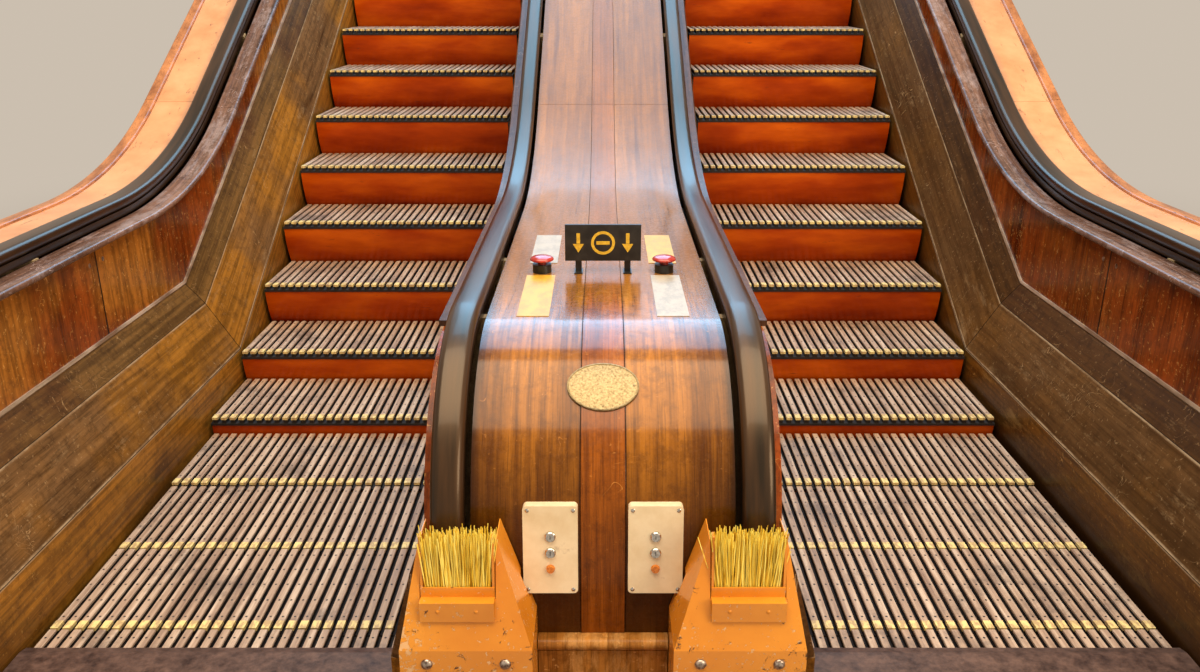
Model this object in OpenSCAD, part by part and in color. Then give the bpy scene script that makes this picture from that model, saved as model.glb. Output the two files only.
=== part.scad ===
// Twin wooden-stepped escalator with one shared centre balustrade.
// X runs across the machine, Y along the travel (rising towards +Y), Z up; millimetres.

/* [Travel] */
// height gained between the two landings
rise = 2600; // [2200:50:3200]
// slope of the run in degrees
slope = 30; // [28:1:32]
// step pitch along the chain
pitch = 406.4; // [400:0.2:410]
// radius of the step path at both bends
bend_r = 2650; // [2000:50:3000]
// tread level above the base of the machine
deep = 750; // [700:10:900]

/* [Steps] */
// inner edge of each step band from the centre plane
band_in = 500; // [480:1:520]
// outer edge of each step band from the centre plane
band_out = 1516; // [1480:1:1560]
// number of wooden slats across one tread
slats = 30; // [24:1:34]
// width of one slat
slat_w = 21; // [16:0.5:24]
// height of the slats above their bed
slat_h = 24; // [16:1:30]
// thickness of the tread bed
bed_t = 9; // [6:1:14]
// free space between the back of a tread and the next nose
tread_gap = 6.4; // [5:0.2:10]
// thickness of the curved riser
riser_t = 8; // [5:1:12]

/* [Balustrades] */
// height of the handrail top above the tread level
rail_top = 920; // [880:5:960]
// thickness of the handrail
rail_t = 42; // [30:1:50]
// centre handrails, inner and outer faces
crail_in = 302; // [290:1:310]
// outer face of the centre handrails
crail_out = 374; // [360:1:380]
// inner face of the outer handrails
orail_in = 1750; // [1740:1:1760]
// outer face of the outer handrails
orail_out = 1828; // [1815:1:1840]
// radius of the handrail around the rounded ends
newel_r = 480; // [440:5:500]
// thickness of deck and end boards
board_t = 20; // [14:1:26]
// half width of the narrow strip down the middle of the centre deck
strip_w = 50; // [40:1:60]
// half width of the centre deck
deck_w = 290; // [280:1:298]
// outer face of the centre side panels
side_x = 395; // [388:1:400]
// inner face of the outer wooden panels
wall_x = 1690; // [1680:1:1700]
// outer faces of the whole machine
face_x = 2050; // [2040:1:2060]

/* [Fittings] */
// diameter of the stop buttons
button_d = 68; // [60:1:76]
// how far the stop buttons can be pressed
button_travel = 8; // [5:1:10]
// radial clearance of a button stem in its base
stem_gap = 1.0; // [0.6:0.1:2]
// width of a control plate
plate_w = 120; // [110:1:130]
// height of a control plate
plate_h = 205; // [190:1:220]
// diameter of a key switch
key_d = 20; // [16:1:26]
// width of the sign board
sign_w = 216; // [190:1:240]
// height of the sign board
sign_h = 105; // [90:1:120]

/* [Hidden] */
t30 = tan(slope);
s30 = sin(slope);
c30 = cos(slope);
half = tan(slope / 2);
run = rise / t30;
tread_d = pitch - tread_gap;
knee = 3560;
comb_y = 2180;
first_y = 1863.6;
hknee = knee + 490;
ny = 2320;
nz = rail_top - newel_r;
end_lo = 1300;
end_hi = 2 * knee + run + pitch - end_lo;
mid_y = (end_lo + end_hi) / 2;
na = 24;
e = 0.3;
wood_r = newel_r - 45;
floor_z = 12;
hand_r = 1900;
// depths under the top of the handrails
trim_d = 18;
deck_d = 30;
deck_low = 50;
ledge_d = 63;
track_low = 65;
panel_d = 88;
// where the parts of the handrail's way end, above the treads
rail_foot = 420;
front_foot = 270;
// width of the raised trims
trim_w = 50;
box_t = 6;
board_side = 16;
guard_y = ny - newel_r;
guard_knee = 343;
// joints of the long boards, evenly parted between the two bends
joint_a = knee + 1220;
joint_d = knee + run - 263;
joint_gap = (joint_d - joint_a) / 3;
joints_y = [joint_a, joint_a + joint_gap, joint_a + 2 * joint_gap, joint_d];
mirror_y = 2 * knee + run + pitch;

// placing and shared shapes
module place() translate([0, -mid_y, deep]) children();
module both() {
  children();
  mirror([1, 0, 0]) children();
}
// the upper landing end is the lower one turned about, one rise higher
module ends() {
  children();
  translate([0, mirror_y, rise]) mirror([0, 1, 0]) children();
}
// a side outline (y, z) stretched across from x0 to x1
module across(x0, x1) translate([x0, 0, 0]) rotate([90, 0, 90]) linear_extrude(x1 - x0) children();

function rev(v) = [for (i = [len(v) - 1:-1:0]) v[i]];
// one rounded bend at the bottom and one at the top of a line that lies flat, climbs, lies flat
function bend_lo(z, k, r) = [for (i = [0:na]) let (a = slope * i / na)
  [k - r * half + r * sin(a), z + r * (1 - cos(a))]];
function bend_hi(z, k, r) = [for (i = [0:na]) let (a = slope * (1 - i / na))
  [k + run + r * half - r * sin(a), z + rise - r * (1 - cos(a))]];
// where the line crosses a joint square to the slope, the joint standing over y on the step line
function joint(z, k, y) = let (t = ((knee - k) * t30 + z) * c30)
  [y - t * s30, (y - knee) * t30 + t * c30];

// one stretch of a line: 0 lower flat with bend, 1 climbing, 2 upper bend with flat
function stretch(n, z, k, r1, r2, a, b) =
  n == 0 ? concat([[a, z]], r1 > 0 ? bend_lo(z, k, r1) : [[k, z]], [joint(z, k, b)]) :
  n == 1 ? [joint(z, k, a), joint(z, k, b)] :
  concat([joint(z, k, a)], r2 > 0 ? bend_hi(z, k, r2) : [[k + run, z + rise]], [[b, z + rise]]);
// a band between two lines, each given by its height, its knee and its two radii
module band(n, lo, hi, a, b) polygon(concat(
  stretch(n, lo[0], lo[1], lo[2], lo[3], a, b),
  rev(stretch(n, hi[0], hi[1], hi[2], hi[3], a, b))));
// a whole band in stretches parted at the joints js
module bands(lo, hi, a, b, js, x0, x1) {
  last = len(js) - 1;
  across(x0, x1) band(0, lo, hi, a, js[0] - 0.5);
  for (i = [0:1:last - 1]) across(x0, x1) band(1, lo, hi, js[i] + 0.5, js[i + 1] - 0.5);
  across(x0, x1) band(2, lo, hi, js[last] + 0.5, b);
}
// the line that runs d below another, square to it
function line(z, k, r1, r2, d) = [z - d, k + d * half, r1 > 0 ? r1 + d : 0, r2 > 0 ? r2 - d : 0];
// a straight moulding of the cross-section pts (x, height above its own corner line): flat, climbing, flat
overrun = 400;
module cutter(side) translate([-face_x, side < 0 ? -2 * overrun : 0, -2 * overrun])
  cube([2 * face_x, 2 * overrun, 4 * overrun]);
module moulding(pts, z, k, a, b, js) {
  difference() {
    translate([0, k + overrun, z]) rotate([90, 0, 0]) linear_extrude(k + overrun - a) polygon(pts);
    translate([0, k - e, z]) rotate([slope / 2, 0, 0]) cutter(1);
  }
  len_all = rise / s30;
  cuts = concat([-overrun], [for (y = js) (y - k) / c30], [len_all + overrun]);
  translate([0, k, z]) rotate([slope, 0, 0]) for (i = [0:len(cuts) - 2]) difference() {
    translate([0, cuts[i + 1] - 0.5, 0]) rotate([90, 0, 0])
      linear_extrude(cuts[i + 1] - cuts[i] - 1) polygon(pts);
    if (i == 0) translate([0, e, 0]) rotate([-slope / 2, 0, 0]) cutter(-1);
    if (i == len(cuts) - 2) translate([0, len_all - e, 0]) rotate([-slope / 2, 0, 0]) cutter(1);
  }
  difference() {
    translate([0, b, z + rise]) rotate([90, 0, 0])
      linear_extrude(b - k - run + overrun) polygon(pts);
    translate([0, k + run + e, z + rise]) rotate([slope / 2, 0, 0]) cutter(-1);
  }
}

// where a step nose stands after a length s along the path
arc_l = bend_r * slope * PI / 180;
flat_l = knee - bend_r * half;
climb_l = rise / s30 - 2 * bend_r * half;
function at(s) =
  s < flat_l ? [s, 0] :
  s < flat_l + arc_l ? let (t = (s - flat_l) / bend_r * 180 / PI)
    [flat_l + bend_r * sin(t), bend_r * (1 - cos(t))] :
  s < flat_l + arc_l + climb_l ? let (u = s - flat_l - arc_l)
    [flat_l + bend_r * s30 + u * c30, bend_r * (1 - c30) + u * s30] :
  s < flat_l + 2 * arc_l + climb_l ? let (t = slope - (s - flat_l - arc_l - climb_l) / bend_r * 180 / PI)
    [knee + run + bend_r * half - bend_r * sin(t), rise - bend_r * (1 - cos(t))] :
  [knee + run + bend_r * half + s - flat_l - 2 * arc_l - climb_l, rise];
steps_n = floor((2 * arc_l + climb_l + flat_l + mirror_y - comb_y - knee - run - bend_r * half
  - first_y) / pitch) + 1;
module each_step() for (i = [0:steps_n - 1]) translate([0, at(first_y + i * pitch)[0],
  at(first_y + i * pitch)[1]]) children();
slat_p = (band_out - band_in) / slats;

// one tread: a row of slats standing on its bed, open between them
module tread() translate([0, tread_d, 0]) rotate([90, 0, 0]) linear_extrude(tread_d) polygon(concat(
  [[band_in, -slat_h - bed_t]],
  [for (i = [0:slats - 1]) let (x = band_in + i * slat_p + (slat_p - slat_w) / 2)
    each [[x, -slat_h], [x, 0], [x + slat_w, 0], [x + slat_w, -slat_h]]],
  [[band_out, -slat_h - bed_t]]));
riser_gap = 2;
riser_h = 215;
// one riser, curved so that the tread in front keeps one gap to it all the way round the bend
module riser() across(band_in + 2, band_out - 2) intersection() {
  translate([tread_d + riser_gap, 0]) difference() {
    circle(tread_d, $fn = 180);
    circle(tread_d - riser_t, $fn = 180);
  }
  translate([0, -riser_h]) square([120, riser_h - slat_h - bed_t]);
}
// one step frame: two cheeks, a tie between them, a pair of wheels outside and a pair inside,
// the wheels given as places behind and under the nose
wheel_r = 37.7;
wheel_t = 31;
front_wheel = [150, -330];
rear_wheel = [330, -250];
cheek_x = 438;
cheek_t = 10;
tie_r = 15;
module wheel(x, at) translate([x, at[0], at[1]]) rotate([0, 90, 0])
  cylinder(r = wheel_r, h = wheel_t, $fn = 40);
module step_frame() union() {
  mid = (band_in + band_out) / 2;
  translate([mid - cheek_x - 2, 240, -120]) rotate([0, 90, 0])
    cylinder(r = tie_r, h = 2 * cheek_x + 4, $fn = 24);
  for (m = [0, 1]) translate([mid, 0, 0]) mirror([m, 0, 0]) {
    across(cheek_x, cheek_x + cheek_t) polygon([[75, -slat_h - bed_t], [385, -slat_h - bed_t],
      [385, -250], [330, -285], [200, -375], [105, -375]]);
    wheel(cheek_x + cheek_t - 1, front_wheel);
    wheel(cheek_x + 1 - wheel_t, rear_wheel);
  }
}
module left_treads() color("tan") place() mirror([1, 0, 0]) each_step() tread();
module right_treads() color("tan") place() each_step() tread();
module left_risers() color("orangered") place() mirror([1, 0, 0]) each_step() riser();
module right_risers() color("orangered") place() each_step() riser();
module step_frames() color("dimgray") place() both() each_step() step_frame();

// wheel rails: the two wheel paths, each one wheel radius lower
roll_r = wheel_r + e;
rail_h = 20;
rail_front_x = [530, 556];
rail_rear_x = [574, 602];
function rail_under(w) = [w[1] - roll_r, knee + w[0] + roll_r * half, bend_r + roll_r, bend_r - roll_r];
front_rail = rail_under(front_wheel);
rear_rail = rail_under(rear_wheel);
function under(l, d) = line(l[0], l[1], l[2], l[3], d);
rail_joints = [joint_a, joint_a + joint_gap, joint_a + 2 * joint_gap - 190, joint_d - 450];
module wheel_rail(l, x) bands(under(l, rail_h), l, first_y - 60, mirror_y - first_y, rail_joints,
  x[0], x[1]);
module step_rails() color("gray") place() both() for (m = [0, 1])
  translate([m * (band_in + band_out), 0, 0]) mirror([m, 0, 0]) {
    wheel_rail(front_rail, rail_front_x);
    wheel_rail(rear_rail, rail_rear_x);
  }

// landing floor and the combs whose teeth stand down between the slats
module comb_plate() {
  across(band_in + 2 - 10, band_out - 2 + 10) polygon([[comb_y - 129.5, 2], [comb_y, 2], [comb_y, 4],
    [comb_y - 30, floor_z], [comb_y - 129.5, floor_z]]);
  for (i = [0:slats - 2]) translate([band_in + (i + 1) * slat_p - 3.5, 0, 0])
    across(0, 7) polygon([[comb_y - 90, 2.5], [comb_y - 80, -14], [comb_y + 18, -14], [comb_y + 20, -10],
      [comb_y - 4, 2.5]]);
}
module comb_plates() color("slategray") place() both() ends() union() comb_plate();
module floor_plates() color("gray") place() ends() {
  translate([-face_x, end_lo, 2]) cube([2 * face_x, ny - wood_r - 5 - end_lo, floor_z - 2]);
  both() translate([band_in - 11, ny - wood_r - 4.5, 2])
    cube([band_out - band_in + 23, comb_y - 130 - ny + wood_r + 4.5, floor_z - 2]);
}

// sloped side mouldings, as corner points (x, height over the lowest corner), in view and behind
corner_z = 203;
corner_y = knee + 349;
bead_z0 = 314;
bead_h = 10;
skirt_h = 263;
out_a = [band_out + 14, 0];
out_b = [band_out + 112, 221];
out_c = [wall_x, bead_z0];
out_back_a = [band_out + 32, -7];
out_back_b = [band_out + 130, 213];
out_back_c = [wall_x + board_side, bead_z0];
in_a = [band_in - 13, 0];
in_b = [band_in - 70, 221];
in_c = [side_x, bead_z0];
in_back_a = [band_in - 31, -7];
in_back_b = [band_in - 88, 213];
in_back_c = [side_x - board_side, bead_z0];
moulding_y = [for (y = joints_y) y + 120];
module side(pts) moulding(pts, corner_z, corner_y, ny - wood_r + 2, mirror_y - ny + wood_r - 2,
  moulding_y);
module skirt(a, b) side([a, b, [b[0], -skirt_h], [a[0], -skirt_h]]);
module bead(x, s) side([[x + 7 * s, bead_z0 + 0.2], [x + 0.2 * s, bead_z0 + 0.2],
  [x + 0.2 * s, bead_z0 + bead_h], [x + 5 * s, bead_z0 + bead_h]]);
module outer_skirts() color("saddlebrown") place() both() skirt(out_a, out_back_a);
module outer_bevels() color("peru") place() both() side([out_a, out_b, out_back_b, out_back_a]);
module outer_upper_bevels() color("peru") place() both() side([out_b, out_c, out_back_c, out_back_b]);
module outer_beads() color("silver") place() both() bead(wall_x, -1);
module centre_skirts() color("saddlebrown") place() both() skirt(in_a, in_back_a);
module centre_bevels() color("peru") place() both() side([in_a, in_b, in_back_b, in_back_a]);
module centre_upper_bevels() color("peru") place() both() side([in_b, in_c, in_back_c, in_back_b]);
module centre_beads() color("silver") place() both() bead(side_x, 1);

// everything that follows the handrail: lines at a depth d under its top
function hline(d) = line(rail_top, hknee, hand_r, hand_r, d);
sill = line(corner_z, corner_y, 0, 0, -bead_z0 - e);
base_line = line(0, knee, 0, 0, deep - box_t);
// a band around the rounded end, from the top down to height low, then straight down to foot
module around(d0, d1, x0, x1, foot) union() {
  across(x0, x1) intersection() {
    translate([ny, nz]) difference() {
      circle(newel_r - d0, $fn = 160);
      circle(newel_r - d1, $fn = 160);
    }
    translate([ny - newel_r - 5, foot > nz ? foot : nz]) square([newel_r + 4.5, newel_r + 5]);
  }
  if (foot < nz) translate([x0, ny - newel_r + d0, foot]) cube([x1 - x0, d1 - d0, nz - foot + 0.01]);
}
// the filled side of the rounded end, down to foot
module round_side(d, x0, x1, foot) union() {
  across(x0, x1) intersection() {
    translate([ny, nz]) circle(newel_r - d, $fn = 160);
    translate([ny - newel_r, max(foot, nz)]) square([newel_r - 0.5, newel_r]);
  }
  if (foot < nz) translate([x0, ny - newel_r + d, foot])
    cube([x1 - x0, newel_r - d - 0.5, nz - foot + 0.01]);
}
module follow(d0, d1, x0, x1) bands(hline(d1), hline(d0), ny, mirror_y - ny, joints_y, x0, x1);
module follow_all(d0, d1, x0, x1, foot) {
  follow(d0, d1, x0, x1);
  ends() around(d0, d1, x0, x1, foot);
}
module side_wall(top_d, x0, x1) {
  bands(sill, hline(top_d), ny, mirror_y - ny, joints_y, x0, x1);
  ends() round_side(top_d + e, x0, x1, sill[0]);
}
module outer_panels() color("brown") place() both() side_wall(panel_d, wall_x, wall_x + board_side);
ledge_out = 38;
module outer_ledges() color("rosybrown") place() both()
  follow_all(ledge_d, panel_d, wall_x - ledge_out, orail_in - 5, sill[0] + 11);
module outer_handrails() color("black") place() both()
  follow_all(0, rail_t, orail_in, orail_out, rail_foot);
deck_in = orail_out + 7;
deck_out = face_x - trim_w - 1;
module outer_decks() color("sandybrown") place() both()
  follow_all(deck_d, deck_low, deck_in, deck_out, floor_z);
module outer_trims() color("peru") place() both()
  follow_all(trim_d, deck_low, face_x - trim_w, face_x, floor_z);
end_board_d = 66;
end_board_t = 18;
end_x = wall_x + board_side + 1;
module outer_end_boards() color("brown") place() both() ends() union() {
  around(end_board_d, end_board_d + end_board_t, orail_in - 4, deck_out, floor_z);
  translate([end_x, guard_y + end_board_d, floor_z])
    cube([orail_in - 3 - end_x, end_board_t, sill[0] - floor_z + 10]);
}
module outer_cladding() color("saddlebrown") place() both() {
  bands(base_line, hline(deck_low), ny, mirror_y - ny, joints_y, face_x - board_side, face_x);
  ends() {
    round_side(deck_low + e, face_x - board_side, face_x, -deep + box_t);
    translate([face_x - board_side, end_lo + 11, -deep + box_t])
      cube([board_side, ny - wood_r - end_lo - 6, deep - box_t + 2]);
  }
}
module centre_side_panels() color("saddlebrown") place() both()
  side_wall(track_low, side_x - board_side, side_x);
module centre_trims() color("peru") place() both()
  follow(deck_low, track_low, crail_out + 4, side_x + 12);
module centre_handrails() color("black") place() both()
  follow_all(0, rail_t, crail_in, crail_out, rail_foot);
module handrail_tracks() color("dimgray") place() both() {
  follow_all(rail_t + e, track_low, crail_in + 3, crail_out - 3, floor_z);
  follow_all(rail_t + e, track_low, orail_in + 5, orail_out - 5, floor_z);
}
board_d = rail_t + 3;
module centre_deck_boards() color("sienna") place() both()
  follow_all(board_d, board_d + board_t, strip_w + 0.5, deck_w, front_foot);
module centre_strip() color("chocolate") place()
  follow_all(board_d - 1, board_d + board_t, -strip_w, strip_w, front_foot);

// small board under the rounded front, with a kicking board and a rounded bead before it
bead_r = 14.5;
bead_out = 34;
bead_z = front_foot - 0.5 - bead_r;
bead_y = ny - wood_r - bead_out + bead_r;
fillet_t = 5;
kick_x = 146;
kick_out = 20;
plinth_t = 18;
module plinths() color("saddlebrown") place() ends() {
  translate([-deck_w, ny - wood_r + 2, floor_z])
    cube([2 * deck_w, plinth_t, front_foot - 0.5 - floor_z]);
  across(-kick_x, kick_x) union() {
    translate([bead_y, bead_z]) circle(bead_r, $fn = 40);
    translate([bead_y, bead_z - bead_r]) square([ny - wood_r + 1.5 - bead_y, 2 * bead_r]);
    translate([bead_y + bead_r - 4, bead_z - bead_r - fillet_t])
      square([ny - wood_r + 1.5 - bead_y - bead_r + 4, fillet_t + 1]);
  }
  translate([-kick_x, ny - wood_r - kick_out, floor_z])
    cube([2 * kick_x, kick_out + 1.5, bead_z - bead_r - fillet_t - floor_z]);
}

// folded sheet guard round the place where a handrail goes in, with a pocket for the rail:
// x from the handrail's inner face, y from its foremost point
function guard_ring(x0, x1, y0, y1, z) = [[x0, y0, z], [x1, y0, z], [x1, y1, z], [x0, y1, z]];
rail_w = crail_out - crail_in;
guard_in = -154;
guard_out = rail_w + 53;
guard_top_in = -80;
guard_top_out = rail_w + 11;
foot_front = -140;
knee_front = -118;
top_front = -43;
shelf_z = 446;
guard_top = 566;
side_t = 2;
slot = 6;
module guard(back) difference() {
  polyhedron(points = concat(
    guard_ring(guard_in, guard_out, foot_front, back, floor_z),
    guard_ring(guard_in, guard_out, knee_front, back, guard_knee),
    guard_ring(guard_top_in, guard_top_out, top_front, back, guard_top)),
    faces = concat([[0, 1, 2, 3]], [for (j = [0, 4]) for (i = [0:3])
      [j + i, j + 4 + i, j + 4 + (i + 1) % 4, j + (i + 1) % 4]], [[11, 10, 9, 8]]));
  translate([guard_top_in + side_t, foot_front - 60, shelf_z])
    cube([guard_top_out - guard_top_in - 2 * side_t, 300, 200]);
  translate([-slot, -slot, rail_foot - 20]) cube([rail_w + 2 * slot, 90, 200]);
  translate([guard_in - 16, 17, rail_foot - 40]) cube([49, 60, 220]);
}
module guard_screws() for (x = [-97, rail_w - 4]) translate([x, knee_front - 1.5, guard_knee - 31])
  rotate([86.2, 0, 0]) cylinder(r1 = 11, r2 = 6, h = 6, $fn = 24);
module at_rail() translate([crail_in, guard_y, 0]) children();
// the outer guards are the centre ones turned over about the outer handrail
module turned_over() translate([crail_in + orail_out - 3, 0, 0]) mirror([1, 0, 0]) at_rail() children();
module guards_at() ends() {
  both() at_rail() children();
  both() turned_over() children();
}
module handrail_guards() color("orange") place() ends() both() {
  at_rail() union() {
    guard(41);
    guard_screws();
  }
  turned_over() union() {
    guard(29);
    guard_screws();
  }
}
// an angle with two upright cheeks, and the brush held between them
holder_in = -76;
holder_out = rail_w + 7;
holder_t = 5;
foot_t = 4;
brush_h = 145;
module brush_holders() color("darkorange") place() guards_at() {
  across(holder_in, holder_out) polygon([[-104, shelf_z - 41], [-100, shelf_z - 41],
    [-100, shelf_z + 0.2], [-42, shelf_z + 0.2], [-42, shelf_z + 0.2 + foot_t],
    [-76, shelf_z + 0.2 + foot_t], [-76, shelf_z + 26], [-80, shelf_z + 26],
    [-80, shelf_z + 0.2 + foot_t], [-104, shelf_z + 0.2 + foot_t]]);
  for (x = [holder_in, holder_out - holder_t]) across(x, x + holder_t) polygon([
    [-77, shelf_z + foot_t], [-42, shelf_z + foot_t], [-42, shelf_z + brush_h - 8],
    [-64, shelf_z + brush_h - 8], [-77, shelf_z + 34]]);
}
module brushes() color("gold") place() guards_at()
  translate([holder_in + holder_t + 0.5, -75.7, shelf_z + foot_t + 0.5])
    cube([holder_out - holder_in - 2 * holder_t - 1, 32, brush_h]);

// control plates, held upright against the rounded front just above the guards' shoulders
plate_up = guard_knee + 147 - nz;
module on_front(x, d) translate([x, ny - sqrt(pow(wood_r, 2) - pow(plate_up, 2)), nz + plate_up])
  rotate([-asin(plate_up / wood_r), 0, 0]) translate([0, -d, 0]) children();
module rounded(w, h, r) hull() for (x = [r - w / 2, w / 2 - r]) for (z = [r - h / 2, h / 2 - r])
  translate([x, z]) circle(r, $fn = 24);
plate_x = 55 + plate_w / 2;
plate_out = 14;
key_h = 6;
lamp_h = 7;
module control_plates() color("beige") place() ends() both() difference() {
  on_front(plate_x, plate_out) rotate([-90, 0, 0])
    linear_extrude(plate_out + 16) rounded(plate_w, plate_h, 9);
  translate([0, ny, nz]) rotate([0, 90, 0]) cylinder(r = wood_r + e, h = deck_w, $fn = 160);
  translate([0, ny - wood_r - e, floor_z]) cube([deck_w, wood_r, nz - floor_z]);
}
module key_switches() color("silver") place() ends() both() for (z = [32, -6])
  on_front(plate_x, plate_out + key_h) translate([0, 0, z]) rotate([-90, 0, 0])
    cylinder(d = key_d, h = key_h, $fn = 32);
module lamps() color("orangered") place() ends() both() on_front(plate_x, plate_out + lamp_h)
  translate([0, 0, -44]) rotate([-90, 0, 0]) cylinder(r1 = 8, r2 = 10, h = lamp_h, $fn = 32);
// oval plate bent round the front
module oval_plates() color("gold") place() ends() intersection() {
  translate([-100, ny, nz]) rotate([0, 90, 0]) difference() {
    cylinder(r = wood_r + 5, h = 200, $fn = 160);
    translate([0, 0, -1]) cylinder(r = wood_r + 1 + e, h = 202, $fn = 160);
  }
  translate([0, ny, nz]) rotate([35, 0, 0]) translate([0, 0, 0.7 * wood_r]) linear_extrude(200)
    polygon([for (i = [0:47]) [82 * cos(i * 7.5), 64 * sin(i * 7.5)]]);
}

// stop buttons: a collar with a bore, a mushroom with a stem that slides in it
deck_z = rail_top - rail_t - 3;
button_x = 175;
button_y = ny + 420;
stem_r = 12;
base_h = 24;
bore_z = 3;
cap_z = base_h + button_travel + 2;
module at_button() translate([button_x, button_y, deck_z]) children();
module button_bases() color("darkslategray") place() both() at_button() difference() {
  cylinder(r = 27, h = base_h, $fn = 48);
  translate([0, 0, bore_z]) cylinder(r = stem_r + stem_gap, h = base_h, $fn = 48);
}
module stop_button() at_button() union() {
  translate([0, 0, bore_z + button_travel + 2]) cylinder(r = stem_r, h = base_h - bore_z + 1, $fn = 48);
  translate([0, 0, cap_z]) cylinder(r = button_d / 2, h = 9, $fn = 64);
  translate([0, 0, cap_z + 9])
    cylinder(r1 = button_d / 2, r2 = button_d / 2 - 12, h = 6, $fn = 64);
}
module left_stop_button() color("red") place() mirror([1, 0, 0]) stop_button();
module right_stop_button() color("red") place() stop_button();

module sign_board() color("black") place() translate([-sign_w / 2, button_y - 13, deck_z + 36])
  cube([sign_w, 10, sign_h]);
module sign_feet() color("black") place() both() translate([70, 0, 0]) union() {
  translate([-12, button_y - 25, deck_z]) cube([24, 50, 4]);
  translate([-9, button_y - 2.8, deck_z]) cube([18, 5, 70]);
}
label_x = 135;
label_w = 81;
lower_label = [ny + 15, ny + 380];
upper_label = [ny + 510, ny + 850];
module label(y, s) translate([s > 0 ? label_x : -label_x - label_w, y[0], deck_z])
  cube([label_w, y[1] - y[0], 1.5]);
module cream_labels() color("beige") place() {
  label(upper_label, -1);
  label(lower_label, 1);
}
module yellow_labels() color("gold") place() {
  label(upper_label, 1);
  label(lower_label, -1);
}

// cross frames standing at intervals on beams: [y, 1 if climbing, 1 if on the upper landing]
stations = [
  [comb_y + 220, 0, 0],
  [flat_l + 100, 0, 0],
  for (i = [0:2]) [joint_a + (i + 0.5) * joint_gap, 1, 0],
  [mirror_y - comb_y - 600, 0, 1],
  [mirror_y - comb_y - 200, 0, 1]];
frame_t = 30;
core_x = side_x - board_side;
beam_t = 60;
beam_top = -560;
climb_top = ((knee - hknee) * t30 + rail_top) * c30;
function depth(l) = ((knee - l[1]) * t30 + l[0]) * c30;
module at_stations() for (st = stations) {
  climbs = st[1] == 1;
  translate([0, st[0], climbs ? (st[0] - knee) * t30 : rise * st[2]]) rotate([slope * st[1], 0, 0]) {
    $top = climbs ? climb_top : rail_top;
    $arm = climbs ? [-250, -12] : [-48, 150];
    $front = climbs ? depth(under(front_rail, rail_h)) : front_rail[0] - rail_h;
    $rear = climbs ? depth(under(rear_rail, rail_h)) : rear_rail[0] - rail_h;
    children();
  }
}
module sheet(t, pts) translate([0, t / 2, 0]) rotate([90, 0, 0]) linear_extrude(t) polygon(pts);
// an arm of each centre frame reaches out behind the inner skirts on both sides
arm_x = band_in - 31;
module centre_frames() color("burlywood") place() at_stations() sheet(frame_t, [
  [-core_x, beam_top], [core_x, beam_top], [core_x, $arm[0]], [arm_x, $arm[0]],
  [arm_x, $arm[1]], [core_x, $arm[1]], [core_x, $top - track_low - e],
  [-core_x, $top - track_low - e], [-core_x, $arm[1]], [-arm_x, $arm[1]],
  [-arm_x, $arm[0]], [-core_x, $arm[0]]]);
wall_back = wall_x + board_side;
face_back = face_x - board_side;
module outer_frames() color("burlywood") place() at_stations() both() sheet(frame_t, [
  [wall_back, beam_top], [face_back, beam_top], [face_back, $top - deck_low - e],
  [orail_out + 7, $top - deck_low - e], [orail_out + 7, $top - track_low - e],
  [orail_in, $top - track_low - e], [orail_in, $top - panel_d - e],
  [wall_back, $top - panel_d - e], [wall_back, $arm[1]], [band_out + 32, $arm[1]],
  [band_out + 32, $arm[0]], [wall_back, $arm[0]]]);
module post(x, top) translate([x[0], -beam_t / 2, beam_top - 1])
  cube([x[1] - x[0], beam_t, top - beam_top + 1 - e]);
module cross_beams() color("gray") place() at_stations() union() {
  translate([-face_back, -beam_t / 2, beam_top - beam_t]) cube([2 * face_back, beam_t, beam_t]);
  both() for (m = [0, 1]) translate([m * (band_in + band_out), 0, 0]) mirror([m, 0, 0]) {
    post([rail_front_x[0] + 2, rail_front_x[1] - 2], $front);
    post([rail_rear_x[0] + 2, rail_rear_x[1] - 2], $rear);
  }
}
chord_w = 99;
chord_top = line(0, knee, 0, 0, beam_t - beam_top + e);
module truss_chords() color("gray") place() both()
  bands(base_line, chord_top, end_lo + 12, end_hi - 12, joints_y,
    face_back - 1 - chord_w, face_back - 1);
module soffit() color("dimgray") place()
  bands(line(0, knee, 0, 0, deep), base_line, end_lo, end_hi, joints_y, -face_x, face_x);
module end_plates() color("gray") place() ends()
  translate([-face_x, end_lo, -deep + box_t]) cube([2 * face_x, 10, deep - box_t + 2]);

// columns under the climb and under the upper landing, in pairs tied across
function sole(y) = y < knee + deep * half + run ? (y - knee - deep * half) * t30 - deep : rise - deep;
trestle_y = [knee + run * 0.542, knee + run + 737, end_hi - 230];
column = 120;
column_out = 40;
sole_t = 12;
module trestles() color("gray") place() for (y = trestle_y) both() union() {
  across(face_x - column_out - column, face_x - column_out) polygon([
    [y - column / 2, sole_t - deep], [y + column / 2, sole_t - deep],
    [y + column / 2, sole(y + column / 2)], [y - column / 2, sole(y - column / 2)]]);
  translate([face_x - 2 * column - 10, y - 150, -deep]) cube([2 * column, 300, sole_t + 0.01]);
}
module trestle_ties() color("gray") place() for (y = trestle_y)
  translate([column_out + column + e - face_x, y - 40, (sole(y) - deep) / 2 - 60])
    cube([2 * (face_x - column_out - column - e), 80, 120]);

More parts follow.
